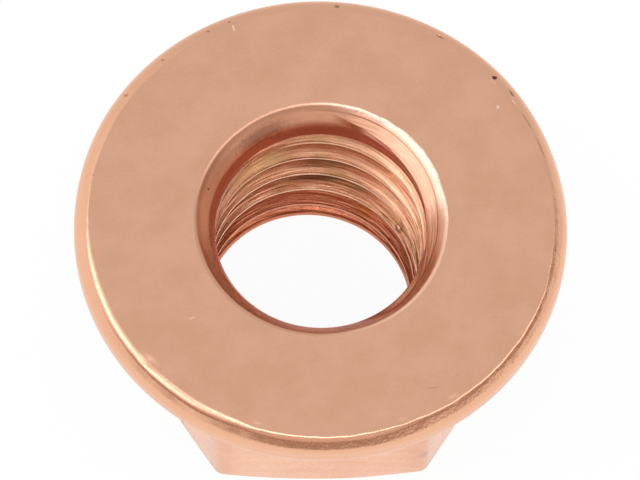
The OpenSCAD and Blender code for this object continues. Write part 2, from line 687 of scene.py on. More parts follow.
@dataclass(frozen=True)
class Mark:
    """A stain, scratch or pit in the plate.

    Args:
        at: its middle on the nut, in mm.
        size: its half sizes along, across and upwards, in mm.
        colour: the plate's colour in it.
        strength: how much it hides the plate, from 0 to 1.
        turn: how far it is turned about the nut's axis, in degrees.
        depth: how deep it is, in mm; a raised burr is negative.
        ragged: how uneven its outline is, where 0 is smooth.
    """

    at: tuple[float, float, float]
    size: tuple[float, float, float]
    colour: str
    strength: float = 0.8
    turn: float = 0.0
    depth: float = 0.0
    ragged: float = 0.0

    def mask(self, tree: Tree, place: Socket, grain: Socket) -> Socket:
        """Tell where the mark lies.

        Args:
            tree: the material's node tree.
            place: the place on the nut.
            grain: the fine grain, from 0 to 1, which frays the outline.

        Returns:
            The mark's strength at that place, and 0 outside it.
        """
        inside = add_node(tree, "ShaderNodeMapping", {
            "Vector": place, "Location": tuple(part * MM for part in self.at),
            "Rotation": (0, 0, math.radians(self.turn)), "Scale": tuple(part * MM for part in self.size)},
            vector_type="TEXTURE")
        gap = add_node(tree, "ShaderNodeVectorMath", {0: inside.outputs["Vector"]}, operation="LENGTH")
        frayed = add_node(tree, "ShaderNodeMath", {0: grain, 1: self.ragged, 2: gap.outputs["Value"]},
                          operation="MULTIPLY_ADD")
        core = 0.4  # how much of its half size has the full strength
        return add_node(tree, "ShaderNodeMapRange", {
            "Value": frayed.outputs["Value"], "From Min": core * (1 + self.ragged),
            "From Max": 1 + 0.5 * self.ragged, "To Min": self.strength, "To Max": 0.0},
            interpolation_type="SMOOTHSTEP").outputs["Result"]


@dataclass(frozen=True)
class CopperPlate:
    """Bright copper plate, a few thousandths of a millimetre thick, over the steel of a cold formed nut.

    The steel under it gives the grain, and the plate a warm satin metal, mottled where it took unevenly.

    Args:
        name: the material's name.
        light: colour where the plate is fresh.
        dark: colour where it has dulled.
        smooth: roughness where the plate is fresh.
        rough: roughness where it has dulled.
        mottle_mm: size of the dull patches.
        grain_mm: size of the steel's fine grain; drawn about 3 pixels wide, as coarse as it shows.
        grain_high: height of the fine grain, in mm.
        marks: stains, scratches and pits.
    """

    name: str
    light: str
    dark: str
    smooth: float = 0.27
    rough: float = 0.35
    mottle_mm: float = 1.6
    grain_mm: float = 0.1
    grain_high: float = 0.002
    marks: tuple[Mark, ...] = ()

    def make(self) -> bpy.types.Material:
        """Build the material's nodes.

        Returns:
            The new material.
        """
        material = bpy.data.materials.new(self.name)
        material.use_nodes = True
        tree = material.node_tree
        tree.nodes.clear()
        place = add_node(tree, "ShaderNodeTexCoord").outputs["Object"]
        grain = add_node(tree, "ShaderNodeTexNoise", {"Vector": place, "Scale": per_metre(self.grain_mm),
                                                      "Detail": 3.0, "Roughness": 0.6}).outputs["Fac"]
        gloss = add_node(tree, "ShaderNodeMapRange", {"Value": grain, "From Min": 0.3, "From Max": 0.7,
                                                      "To Min": self.smooth, "To Max": self.rough})
        colour = self.tone(tree, place, grain)
        height = self.relief(tree, place, grain)
        fray = self.fray(tree, place, grain)
        for mark in self.marks:
            mask = mark.mask(tree, place, fray)
            colour = add_node(tree, "ShaderNodeMix", {0: mask, 6: colour, 7: linear(mark.colour)},
                              data_type="RGBA").outputs[2]
            height = add_node(tree, "ShaderNodeMath", {0: mask, 1: -mark.depth, 2: height},
                              operation="MULTIPLY_ADD").outputs["Value"]
        bump = add_node(tree, "ShaderNodeBump", {"Height": height, "Strength": 1.0, "Distance": MM})
        shader = add_node(tree, "ShaderNodeBsdfPrincipled", {
            "Base Color": colour, "Metallic": 1.0, "Roughness": gloss.outputs["Result"],
            "Normal": bump.outputs["Normal"]})
        add_node(tree, "ShaderNodeOutputMaterial", {"Surface": shader.outputs["BSDF"]})
        return material

    def fray(self, tree: Tree, place: Socket, grain: Socket) -> Socket:
        """Give what frays the marks, from 0 to 1: here the fine grain; see relief."""
        return grain

    def tone(self, tree: Tree, place: Socket, grain: Socket) -> Socket:
        """Colour the plate in dull patches broken up by the grain.

        Args:
            tree: the material's node tree.
            place: the place on the nut.
            grain: the fine grain, from 0 to 1.

        Returns:
            The colour.
        """
        mottle = add_node(tree, "ShaderNodeTexNoise", {"Vector": place, "Scale": per_metre(self.mottle_mm),
                                                       "Detail": 5.0, "Roughness": 0.62})
        both = add_node(tree, "ShaderNodeMath", {0: grain, 1: 0.45, 2: mottle.outputs["Fac"]},
                        operation="MULTIPLY_ADD")
        dull = add_node(tree, "ShaderNodeMapRange", {"Value": both.outputs["Value"], "From Min": 0.5,
                                                     "From Max": 0.95}, interpolation_type="SMOOTHSTEP")
        return add_node(tree, "ShaderNodeMix", {0: dull.outputs["Result"], 6: linear(self.light),
                                                7: linear(self.dark)}, data_type="RGBA").outputs[2]

    def relief(self, tree: Tree, place: Socket, grain: Socket) -> Socket:
        """Raise the fine grain.

        Args:
            tree: the material's node tree.
            place: the place on the nut.
            grain: the fine grain, from 0 to 1.

        Returns:
            The height in mm.
        """
        return add_node(tree, "ShaderNodeMath", {0: grain, 1: self.grain_high},
                        operation="MULTIPLY").outputs["Value"]


@dataclass(frozen=True)
class ForgedSkin(CopperPlate):
    """The plate on the rim and the hexagon, over the die's rough skin and the dents of a tumbling barrel.

    Where a look fades in, a pair gives the places at which it starts and is full, in mm.

    Args:
        dent_mm: size of the barrel's soft dents.
        dent_high: depth of the dents, in mm.
        dent_x: pair along X for the dents, which are deepest towards +X.
        dent_z: pair of heights for the dents, which are deepest on the rim.
        rim: colour of the flange's rim, which rubbed bright in the barrel.
        rim_z: its pair of heights.
        far_shade_tint: colour of the rim's top on the far side, near the face's own: painted shade.
        far_shade_way: the way from the axis to that side.
        far_shade_run: its pair along that way.
        far_shade_z: its pair of heights.
        drawn: colour of the faint lines that the die drew along the flats.
        drawn_mm: width of those lines.
        worn_and_shaded: colour of the six corners: plate rubbed thin, and painted shade that marks the edges.
        worn_and_shaded_r: its pair of distances from the axis.
        worn_and_shaded_z: its pair of heights.
    """

    dent_mm: float = 0.26
    dent_high: float = 0.01
    dent_x: tuple[float, float] = (-4.0, 2.5)
    dent_z: tuple[float, float] = (5.6, 6.5)
    rim: str = "#f2b995"
    rim_z: tuple[float, float] = (6.1, 6.7)
    far_shade_tint: str = "#d8a689"
    # painted shade: the rim's top on the far side is darkened towards the face's colour
    far_shade_way: tuple[float, float, float] = (0.5, 0.866, 0.0)
    far_shade_run: tuple[float, float] = (-1.5, 4.5)
    far_shade_z: tuple[float, float] = (7.62, 7.96)
    drawn: str = "#e3a486"
    drawn_mm: float = 0.22
    # wear, and painted shade that marks the hexagon's corners
    worn_and_shaded: str = "#d99a7a"
    worn_and_shaded_r: tuple[float, float] = (6.5, 6.7)
    worn_and_shaded_z: tuple[float, float] = (6.2, 5.9)

    def corners(self, tree: Tree, place: Socket) -> Socket:
        """Tell how much the hexagon's corners are rubbed and darkened with painted shade, from 0 to 1.

        Args:
            tree: the material's node tree.
            place: the place on the nut.

        Returns:
            The share of their colour.
        """
        split = add_node(tree, "ShaderNodeSeparateXYZ", {0: place}).outputs
        level = add_node(tree, "ShaderNodeCombineXYZ", {0: split["X"], 1: split["Y"]}).outputs["Vector"]
        reach = add_node(tree, "ShaderNodeVectorMath", {0: level}, operation="LENGTH").outputs["Value"]
        out, under = (
            add_node(tree, "ShaderNodeMapRange", {
                "Value": value, "From Min": start * MM, "From Max": end * MM,
                "To Max": most}).outputs["Result"]
            for value, (start, end), most in ((reach, self.worn_and_shaded_r, 0.3), (split["Z"], self.worn_and_shaded_z, 1.0)))
        return add_node(tree, "ShaderNodeMath", {0: out, 1: under}, operation="MULTIPLY").outputs["Value"]

    def tone(self, tree: Tree, place: Socket, grain: Socket) -> Socket:
        """Lay the die's lines, the bright rim, painted shade on its far top and on the worn corners over the
        plate.

        Args:
            tree: the material's node tree.
            place: the place on the nut.
            grain: the fine grain, from 0 to 1.

        Returns:
            The colour.
        """
        drawn_out = (0.1, 0.1, 1)  # the lines are ten times as long as they are wide
        along = add_node(tree, "ShaderNodeVectorMath", {0: place, 1: drawn_out},
                         operation="MULTIPLY").outputs["Vector"]
        lines = add_node(tree, "ShaderNodeTexNoise", {"Vector": along, "Scale": per_metre(self.drawn_mm),
                                                      "Detail": 3.0, "Roughness": 0.6}).outputs["Fac"]
        faint = add_node(tree, "ShaderNodeMapRange", {"Value": lines, "From Min": 0.45, "From Max": 0.75,
                                                      "To Max": 0.35}).outputs["Result"]
        height = add_node(tree, "ShaderNodeSeparateXYZ", {0: place}).outputs["Z"]
        towards = add_node(tree, "ShaderNodeVectorMath", {0: place, 1: self.far_shade_way},
                           operation="DOT_PRODUCT").outputs["Value"]
        upper, top, far = (
            add_node(tree, "ShaderNodeMapRange", {
                "Value": value, "From Min": start * MM, "From Max": end * MM,
                "To Max": most}).outputs["Result"]
            for value, (start, end), most in ((height, self.rim_z, 0.85), (height, self.far_shade_z, 1.0),
                                              (towards, self.far_shade_run, 1.0)))
        # painted shade on the rim's top on the far side
        far_shade_share = add_node(tree, "ShaderNodeMath", {0: far, 1: top}, operation="MULTIPLY").outputs["Value"]
        colour = super().tone(tree, place, grain)
        for share, tint in ((faint, self.drawn), (upper, self.rim), (far_shade_share, self.far_shade_tint),
                            (self.corners(tree, place), self.worn_and_shaded)):
            colour = add_node(tree, "ShaderNodeMix", {0: share, 6: colour, 7: linear(tint)},
                              data_type="RGBA").outputs[2]
        return colour

    def relief(self, tree: Tree, place: Socket, grain: Socket) -> Socket:
        """Add the dents of the barrel to the grain, both least on the flats towards -X.

        Args:
            tree: the material's node tree.
            place: the place on the nut.
            grain: the fine grain, from 0 to 1.

        Returns:
            The height in mm.
        """
        dents = add_node(tree, "ShaderNodeTexNoise", {"Vector": place, "Scale": per_metre(self.dent_mm),
                                                      "Detail": 2.0, "Roughness": 0.5}).outputs["Fac"]
        height = add_node(tree, "ShaderNodeMath", {0: dents, 1: self.dent_high,
                                                   2: super().relief(tree, place, grain)},
                          operation="MULTIPLY_ADD").outputs["Value"]
        split = add_node(tree, "ShaderNodeSeparateXYZ", {0: place}).outputs
        for value, (start, end), least, most in ((split["X"], self.dent_x, 0.2, 1.3),
                                                 (split["Z"], self.dent_z, 0.3, 1.0)):
            share = add_node(tree, "ShaderNodeMapRange", {
                "Value": value, "From Min": start * MM, "From Max": end * MM,
                "To Min": least, "To Max": most})
            height = add_node(tree, "ShaderNodeMath", {0: height, 1: share.outputs["Result"]},
                              operation="MULTIPLY").outputs["Value"]
        return height


@dataclass(frozen=True)
class TurnedSink(CopperPlate):
    """The plate in the countersink, smooth where the cutter rubbed, with turned lines where the tap ran in.

    The steep foot takes little fresh plate and sees mostly copper, and its deep red is partly painted
    reflection. Where a look fades in, a pair gives the places at which it starts and is full, in mm.

    Args:
        face_z: height of the bearing face, in mm.
        mouth: colour at the mouth, where it meets the bearing face: painted shade.
        mouth_deep: depths under the face at which that starts to fade and is gone, in mm.
        mouth_highlight: painted highlight on the mouth towards +X.
        mouth_highlight_x: its pair along X.
        burr_highlight: painted highlight on the mouth's edge where the tap pushed up a burr.
        burr_way: the way from the axis to the burr.
        burr_run: its pair along that way.
        burr_deep: its pair of depths under the face.
        near_reflection: colour of the near side, which sees only copper: a painted reflection of it.
        near_reflection_y: its pair along Y.
        right_tone: a darker colour of the cone towards +X.
        right_tone_x: its pair along X.
        foot: colour in the steep foot: thin plate and a painted reflection of copper.
        foot_way: the way from the axis to the foot's middle.
        foot_run: its pair along that way.
        foot_deep: its pair of depths under the face.
        line_mm: width of the turned lines, drawn about 2 pixels wide, as coarse as they show.
        line_high: height of the turned lines, in mm.
        line_x: pair along X for these lines and the scored one.
        score: colour in the one deep line that the tap scored.
        score_r: its distance from the axis on the far side, in mm.
        score_run: how much closer to the axis it comes for each radian towards +X, in mm.
        score_mm: its width; about two pixels, as fine as shows.
    """

    face_z: float = 8.0
    # painted shade at the mouth, and a painted highlight on it towards +X
    mouth: str = "#cd9b7f"
    mouth_deep: tuple[float, float] = (0.06, 0.2)
    mouth_highlight: str = "#efc1a3"
    mouth_highlight_x: tuple[float, float] = (-0.3, 2.6)
    # painted highlight on the mouth's burred edge
    burr_highlight: str = "#ffddc6"
    burr_way: tuple[float, float, float] = (0.766, 0.643, 0.0)
    burr_run: tuple[float, float] = (2.6, 3.9)
    burr_deep: tuple[float, float] = (0.1, 0.04)
    # painted reflection of copper on the near side
    near_reflection: str = "#d3855e"
    near_reflection_y: tuple[float, float] = (-2.6, -3.3)
    # a darker colour of the cone towards +X
    right_tone: str = "#d79f80"
    right_tone_x: tuple[float, float] = (0.4, 2.2)
    # thin plate, and a painted reflection of copper in the steep foot
    foot: str = "#f0a085"
    foot_way: tuple[float, float, float] = (-0.574, 0.819, 0.0)
    foot_run: tuple[float, float] = (-0.2, 0.8)
    foot_deep: tuple[float, float] = (0.45, 0.7)
    line_mm: float = 0.075
    line_high: float = 0.012
    line_x: tuple[float, float] = (-0.6, 1.4)
    score: str = "#b07a5e"
    score_r: float = 4.02
    score_run: float = 0.115
    score_mm: float = 0.07

    def depth(self, tree: Tree, place: Socket) -> Socket:
        """Give the depth under the bearing face, in metres."""
        height = add_node(tree, "ShaderNodeSeparateXYZ", {0: place}).outputs["Z"]
        return add_node(tree, "ShaderNodeMath", {0: self.face_z * MM, 1: height},
                        operation="SUBTRACT").outputs["Value"]

    def side(self, tree: Tree, place: Socket) -> Socket:
        """Tell where the tap ran in, from 0 on the other side of the axis to 1.

        Args:
            tree: the material's node tree.
            place: the place on the nut.

        Returns:
            The share of what it left there.
        """
        aside = add_node(tree, "ShaderNodeSeparateXYZ", {0: place}).outputs["X"]
        start, end = self.line_x
        return add_node(tree, "ShaderNodeMapRange", {"Value": aside, "From Min": start * MM,
                                                     "From Max": end * MM}).outputs["Result"]

    def lines(self, tree: Tree, place: Socket) -> Socket:
        """Draw the turned lines on the side where the tap ran in.

        Args:
            tree: the material's node tree.
            place: the place on the nut.

        Returns:
            Their height, from 0 to 1.
        """
        wind = wound(tree, place, lead=0.0, lean=0.0, still=0.0)
        turned = add_node(tree, "ShaderNodeTexNoise", {"Vector": wind, "Scale": per_metre(self.line_mm),
                                                       "Detail": 2.0, "Roughness": 0.6}).outputs["Fac"]
        return add_node(tree, "ShaderNodeMath", {0: turned, 1: self.side(tree, place)},
                        operation="MULTIPLY").outputs["Value"]

    def scored(self, tree: Tree, place: Socket) -> Socket:
        """Draw the one deep line that the tap scored into the cone, from 0 to 1.

        Args:
            tree: the material's node tree.
            place: the place on the nut.

        Returns:
            The share of the line's colour.
        """
        flat = add_node(tree, "ShaderNodeVectorMath", {0: place, 1: (1, 1, 0)}, operation="MULTIPLY")
        split = add_node(tree, "ShaderNodeSeparateXYZ", {0: place}).outputs
        turn = add_node(tree, "ShaderNodeMath", {0: split["X"], 1: split["Y"]}, operation="ARCTAN2")
        reach = add_node(tree, "ShaderNodeVectorMath", {0: flat.outputs["Vector"]}, operation="LENGTH")
        run = add_node(tree, "ShaderNodeMath", {0: turn.outputs["Value"], 1: self.score_run * MM,
                                                2: reach.outputs["Value"]}, operation="MULTIPLY_ADD")
        off = add_node(tree, "ShaderNodeMath", {0: run.outputs["Value"], 1: self.score_r * MM},
                       operation="SUBTRACT").outputs["Value"]
        gap = add_node(tree, "ShaderNodeMath", {0: off}, operation="ABSOLUTE").outputs["Value"]
        line = add_node(tree, "ShaderNodeMapRange", {"Value": gap, "From Min": 0.2 * self.score_mm * MM,
                                                     "From Max": 0.5 * self.score_mm * MM,
                                                     "To Min": 0.9, "To Max": 0.0})
        return add_node(tree, "ShaderNodeMath", {0: line.outputs["Result"], 1: self.side(tree, place)},
                        operation="MULTIPLY").outputs["Value"]

    def burred(self, tree: Tree, place: Socket, grain: Socket) -> Socket:
        """Tell where the mouth's edge has its burr and the painted highlight on it, from 0 to 1.

        Args:
            tree: the material's node tree.
            place: the place on the nut.
            grain: the fine grain, from 0 to 1, which breaks the burr up.

        Returns:
            The share of the painted highlight.
        """
        towards = add_node(tree, "ShaderNodeVectorMath", {0: place, 1: self.burr_way},
                           operation="DOT_PRODUCT").outputs["Value"]
        side = add_node(tree, "ShaderNodeMapRange", {
            "Value": towards, "From Min": self.burr_run[0] * MM, "From Max": self.burr_run[1] * MM},
            interpolation_type="SMOOTHSTEP").outputs["Result"]
        edge = add_node(tree, "ShaderNodeMapRange", {
            "Value": self.depth(tree, place), "From Min": self.burr_deep[0] * MM,
            "From Max": self.burr_deep[1] * MM}).outputs["Result"]
        both = add_node(tree, "ShaderNodeMath", {0: side, 1: edge}, operation="MULTIPLY").outputs["Value"]
        torn = add_node(tree, "ShaderNodeMapRange", {"Value": grain, "From Min": 0.4, "From Max": 0.6,
                                                     "To Min": 0.1, "To Max": 0.9}).outputs["Result"]
        return add_node(tree, "ShaderNodeMath", {0: both, 1: torn}, operation="MULTIPLY").outputs["Value"]

    def tone(self, tree: Tree, place: Socket, grain: Socket) -> Socket:
        """Colour the mouth, the cone, the red foot, the scored line and the burr, with painted light and
        shade.

        Args:
            tree: the material's node tree.
            place: the place on the nut.
            grain: the fine grain, from 0 to 1.

        Returns:
            The colour.
        """
        split = add_node(tree, "ShaderNodeSeparateXYZ", {0: place}).outputs
        depth = self.depth(tree, place)
        far = add_node(tree, "ShaderNodeVectorMath", {0: place, 1: self.foot_way},
                       operation="DOT_PRODUCT").outputs["Value"]
        deep, side = (
            add_node(tree, "ShaderNodeMapRange", {
                "Value": value, "From Min": start * MM, "From Max": end * MM},
                interpolation_type="SMOOTHSTEP").outputs["Result"]
            for value, (start, end) in ((depth, self.foot_deep), (far, self.foot_run)))
        # where the foot's painted reflection of copper goes
        foot_plate_and_reflection_share = add_node(tree, "ShaderNodeMath", {0: deep, 1: side}, operation="MULTIPLY").outputs["Value"]
        low, mouth_highlight, near_reflection_share, right_tone_share = (
            add_node(tree, "ShaderNodeMapRange", {
                "Value": value, "From Min": start * MM, "From Max": end * MM,
                "To Max": most}).outputs["Result"]
            for value, (start, end), most in ((depth, self.mouth_deep, 1.0), (split["X"], self.mouth_highlight_x, 1.0),
                                              (split["Y"], self.near_reflection_y, 0.9), (split["X"], self.right_tone_x, 0.7)))
        # the mouth's painted shade, lit towards +X by a painted highlight
        mouth = add_node(tree, "ShaderNodeMix", {0: mouth_highlight, 6: linear(self.mouth), 7: linear(self.mouth_highlight)},
                         data_type="RGBA").outputs[2]
        inner = super().tone(tree, place, grain)
        # the near side's painted reflection of copper
        for share, tint in ((right_tone_share, self.right_tone), (near_reflection_share, self.near_reflection)):
            inner = add_node(tree, "ShaderNodeMix", {0: share, 6: inner, 7: linear(tint)},
                             data_type="RGBA").outputs[2]
        colour = add_node(tree, "ShaderNodeMix", {0: low, 6: mouth, 7: inner}, data_type="RGBA").outputs[2]
        # the foot's painted reflection and the burr's painted highlight go on here
        for share, tint in ((foot_plate_and_reflection_share, self.foot), (self.scored(tree, place), self.score),
                            (self.burred(tree, place, grain), self.burr_highlight)):
            colour = add_node(tree, "ShaderNodeMix", {0: share, 6: colour, 7: linear(tint)},
                              data_type="RGBA").outputs[2]
        return colour

    def relief(self, tree: Tree, place: Socket, grain: Socket) -> Socket:
        """Add the turned lines to the grain; see CopperPlate.relief."""
        return add_node(tree, "ShaderNodeMath", {0: self.lines(tree, place), 1: self.line_high,
                                                 2: super().relief(tree, place, grain)},
                        operation="MULTIPLY_ADD").outputs["Value"]


@dataclass(frozen=True)
class TappedThread(CopperPlate):
    """The plate in the thread: bright on the crests, dark in the roots from thin plate and painted shade, torn
    along the tap's way.

    Tapping oil dried on it in brassy stains, and towards the hexagon end it is redder.

    Args:
        crest_r: distance of the crests from the thread's axis, in mm.
        root_deep: depths behind the crests at which thin plate and painted shade start and are full, in mm.
        lead: climb of the thread in a turn, in mm.
        lean: how far the thread's axis leans towards -X for each mm downwards.
        still: height at which it meets the nut's own axis, in mm.
        torn_mm: width of the torn lines, drawn about 2 pixels wide, as coarse as they show.
        torn_high: height of the torn lines, in mm.
        stain: colour of the dried oil.
        stain_mm: size of the stains.
        low: colour towards the hexagon end.
        low_z: heights at which that starts and is full, in mm.
    """

    crest_r: float = 3.4
    root_deep: tuple[float, float] = (0.02, 0.36)
    lead: float = 1.25
    lean: float = 0.049
    still: float = 7.06
    torn_mm: float = 0.08
    torn_high: float = 0.02
    stain: str = "#b98f5f"
    stain_mm: float = 1.0
    low: str = "#c67552"
    low_z: tuple[float, float] = (3.4, 1.2)

    def torn(self, tree: Tree, place: Socket) -> Socket:
        """Draw the lines that the tap tore along the thread, from 0 to 1."""
        wind = wound(tree, place, self.lead, self.lean, self.still)
        return add_node(tree, "ShaderNodeTexNoise", {"Vector": wind, "Scale": per_metre(self.torn_mm),
                                                     "Detail": 2.0, "Roughness": 0.6}).outputs["Fac"]

    def fray(self, tree: Tree, place: Socket, grain: Socket) -> Socket:
        """Fray the marks along the torn lines; see CopperPlate.fray."""
        return self.torn(tree, place)

    def tone(self, tree: Tree, place: Socket, grain: Socket) -> Socket:
        """Darken the roots with thin plate and painted shade, then lay the stains and the low end's red over
        them.

        Args:
            tree: the material's node tree.
            place: the place on the nut.
            grain: the fine grain, from 0 to 1.

        Returns:
            The colour.
        """
        wind = wound(tree, place, self.lead, self.lean, self.still)
        reach = add_node(tree, "ShaderNodeSeparateXYZ", {0: wind}).outputs["X"]
        start, end = ((self.crest_r + deep) * MM for deep in self.root_deep)
        # the roots darken: thin plate, and painted shade under the crests
        root = add_node(tree, "ShaderNodeMapRange", {"Value": reach, "From Min": start, "From Max": end})
        uneven = add_node(tree, "ShaderNodeMath", {0: self.torn(tree, place), 1: 0.9,
                                                   2: root.outputs["Result"]}, operation="MULTIPLY_ADD")
        thin_plate_and_shade = add_node(tree, "ShaderNodeMapRange", {
            "Value": uneven.outputs["Value"], "From Min": 0.45, "From Max": 1.4},
            interpolation_type="SMOOTHSTEP").outputs["Result"]
        run_out = (0.8, 0.8, 2.2)  # the stains are wider than they are high
        spread = add_node(tree, "ShaderNodeVectorMath", {0: place, 1: run_out},
                          operation="MULTIPLY").outputs["Vector"]
        spots = add_node(tree, "ShaderNodeTexNoise", {"Vector": spread, "Scale": per_metre(self.stain_mm),
                                                      "Detail": 6.0, "Roughness": 0.65})
        stained = add_node(tree, "ShaderNodeMapRange", {
            "Value": spots.outputs["Fac"], "From Min": 0.47, "From Max": 0.68, "To Max": 0.75},
            interpolation_type="SMOOTHSTEP").outputs["Result"]
        height = add_node(tree, "ShaderNodeSeparateXYZ", {0: place}).outputs["Z"]
        down = add_node(tree, "ShaderNodeMapRange", {
            "Value": height, "From Min": self.low_z[0] * MM, "From Max": self.low_z[1] * MM, "To Max": 0.85},
            interpolation_type="SMOOTHSTEP").outputs["Result"]
        colour = linear(self.light)
        for share, tint in ((thin_plate_and_shade, self.dark), (stained, self.stain), (down, self.low)):
            colour = add_node(tree, "ShaderNodeMix", {0: share, 6: colour, 7: linear(tint)},
                              data_type="RGBA").outputs[2]
        return colour

    def relief(self, tree: Tree, place: Socket, grain: Socket) -> Socket:
        """Add the torn lines to the grain; see CopperPlate.relief."""
        return add_node(tree, "ShaderNodeMath", {0: self.torn(tree, place), 1: self.torn_high,
                                                 2: super().relief(tree, place, grain)},
                        operation="MULTIPLY_ADD").outputs["Value"]


@dataclass(frozen=True)
class Softbox:
    """A studio light with a cloth front that faces the nut.

    Args:
        name: the light's name.
        azimuth: where it stands, in degrees from +X towards +Y.
        elevation: how high it stands over the floor's plane, in degrees.
        distance: its distance from the nut, in mm.
        wide: its width, in mm.
        tall: its height, in mm.
        level: how bright its cloth is, where 1 is white.
        colour: colour of its cloth.
    """

    name: str
    azimuth: float
    elevation: float
    distance: float
    wide: float
    tall: float
    level: float
    colour: str

    def place(self) -> bpy.types.Object:
        """Add the light to the scene.

        Returns:
            The light's object.
        """
        lamp = bpy.data.lights.new(self.name, "AREA")
        lamp.shape = "RECTANGLE"
        lamp.size, lamp.size_y = self.wide * MM, self.tall * MM
        lamp.energy = self.level * math.pi * lamp.size * lamp.size_y
        lamp.color = linear(self.colour)[:3]
        light = bpy.data.objects.new(self.name, lamp)
        around, up = math.radians(self.azimuth), math.radians(self.elevation)
        way = Vector((math.cos(around) * math.cos(up), math.sin(around) * math.cos(up), math.sin(up)))
        light.location = way * self.distance * MM
        light.rotation_euler = way.to_track_quat("Z", "Y").to_euler()
        light.visible_camera = False
        bpy.context.collection.objects.link(light)
        return light


@dataclass(frozen=True)
class Studio:
    """A plain white table under soft light, with the camera where the photograph was taken.

    Args:
        azimuth: where the camera stands round the nut, in degrees from -Y.
        elevation: how high it looks down from, in degrees.
        roll: how far the camera is turned about its view, in degrees.
        distance: from the camera to the middle of the bearing face, in mm.
        lens: focal length, in mm.
        sensor: width of the camera's sensor, in mm.
        aside: how far the view's middle lies right of and over the face's middle, in mm.
        floor_size: side of the table, in mm.
        floor_gap: how far the table lies under the nut's end, so that the two faces don't coincide, in mm.
        floor_colour: colour of the table.
        floor_glow: share of the table's white that doesn't take the nut's shadow.
        room_low: colour of the room in front, near the table.
        room_high: colour of the room in front and overhead.
        room_rise: heights between which the one turns to the other, on a sphere of radius 1.
        sweep: colour of the white paper that rises behind the nut.
        sweep_aside: how much its middle is turned aside; below 0 is towards -X.
        sweep_rise: distances behind the nut between which it shows, on that sphere.
        softboxes: the lights.
    """

    azimuth: float = -3.39
    elevation: float = 66.1
    roll: float = 2.41
    distance: float = 295.6
    lens: float = 508.0
    sensor: float = 36.0
    aside: tuple[float, float] = (-0.033, -0.667)
    floor_size: float = 3000.0
    floor_gap: float = 0.01
    floor_colour: str = "#f4f4f4"
    floor_glow: float = 0.95
    room_low: str = "#8c6c5a"
    room_high: str = "#dfd4d1"
    room_rise: tuple[float, float] = (0.14, 0.42)
    sweep: str = "#f6f6f6"
    sweep_aside: float = -0.3
    sweep_rise: tuple[float, float] = (-0.25, 0.45)
    softboxes: tuple[Softbox, ...] = (
        Softbox("key_softbox", azimuth=-100, elevation=74, distance=400, wide=210, tall=190, level=3.2,
                colour="#e6efff"),
        Softbox("left_softbox", azimuth=187, elevation=44, distance=400, wide=380, tall=220, level=1.9,
                colour="#e4edff"),
        Softbox("right_softbox", azimuth=-12, elevation=57, distance=400, wide=240, tall=190, level=1.6,
                colour="#eef3ff"),
    )

    def build(self, target: Vector) -> None:
        """Set up the table, the room, the lights and the camera.

        Args:
            target: middle of the bearing face, in metres.
        """
        self.lay_floor()
        self.light_room()
        for softbox in self.softboxes:
            softbox.place()
        self.aim_camera(target)

    def lay_floor(self) -> bpy.types.Object:
        """Lay the white table under the nut.

        Returns:
            The floor's object.
        """
        mesh = bmesh.new()
        bmesh.ops.create_grid(mesh, x_segments=1, y_segments=1, size=self.floor_size / 2 * MM)
        data = bpy.data.meshes.new("floor")
        mesh.to_mesh(data)
        mesh.free()
        floor = bpy.data.objects.new("floor", data)
        floor.location.z = -self.floor_gap * MM
        bpy.context.collection.objects.link(floor)
        paper = bpy.data.materials.new("white_paper")
        paper.use_nodes = True
        tree = paper.node_tree
        tree.nodes.clear()
        rays = add_node(tree, "ShaderNodeLightPath")
        seen = add_node(tree, "ShaderNodeMath", {0: rays.outputs["Is Camera Ray"],
                                                 1: rays.outputs["Is Glossy Ray"]}, operation="MAXIMUM")
        shown = add_node(tree, "ShaderNodeMath", {0: seen.outputs["Value"],
                                                  1: rays.outputs["Is Transmission Ray"]},
                         operation="MAXIMUM")
        matt = add_node(tree, "ShaderNodeBsdfDiffuse", {"Color": linear(self.floor_colour)})
        glow = add_node(tree, "ShaderNodeEmission", {"Color": linear(WHITE), "Strength": 1.0})
        share = add_node(tree, "ShaderNodeMath", {0: shown.outputs["Value"], 1: self.floor_glow},
                         operation="MULTIPLY")
        both = add_node(tree, "ShaderNodeMixShader", {0: share.outputs["Value"], 1: matt.outputs["BSDF"],
                                                      2: glow.outputs["Emission"]})
        add_node(tree, "ShaderNodeOutputMaterial", {"Surface": both.outputs["Shader"]})
        data.materials.append(paper)
        return floor

    def light_room(self) -> None:
        """Fill the room with soft light: dim and warm in front, white from the paper sweep behind."""
        world = bpy.data.worlds.new("studio_room")
        bpy.context.scene.world = world
        world.use_nodes = True
        tree = world.node_tree
        tree.nodes.clear()
        way = add_node(tree, "ShaderNodeTexCoord").outputs["Generated"]
        split = add_node(tree, "ShaderNodeSeparateXYZ", {0: way}).outputs
        behind = add_node(tree, "ShaderNodeMath", {0: split["X"], 1: self.sweep_aside, 2: split["Y"]},
                          operation="MULTIPLY_ADD").outputs["Value"]
        rise, paper = (
            add_node(tree, "ShaderNodeMapRange", {"Value": value, "From Min": start, "From Max": end},
                     interpolation_type="SMOOTHSTEP").outputs["Result"]
            for value, (start, end) in ((split["Z"], self.room_rise), (behind, self.sweep_rise)))
        colour = linear(self.room_low)
        for share, tint in ((rise, self.room_high), (paper, self.sweep)):
            colour = add_node(tree, "ShaderNodeMix", {0: share, 6: colour, 7: linear(tint)},
                              data_type="RGBA").outputs[2]
        room = add_node(tree, "ShaderNodeBackground", {"Color": colour, "Strength": 1.0})
        wall = add_node(tree, "ShaderNodeBackground", {"Color": linear(WHITE), "Strength": 1.0})
        seen = add_node(tree, "ShaderNodeLightPath").outputs["Is Camera Ray"]
        both = add_node(tree, "ShaderNodeMixShader", {0: seen, 1: room.outputs["Background"],
                                                      2: wall.outputs["Background"]})
        add_node(tree, "ShaderNodeOutputWorld", {"Surface": both.outputs["Shader"]})

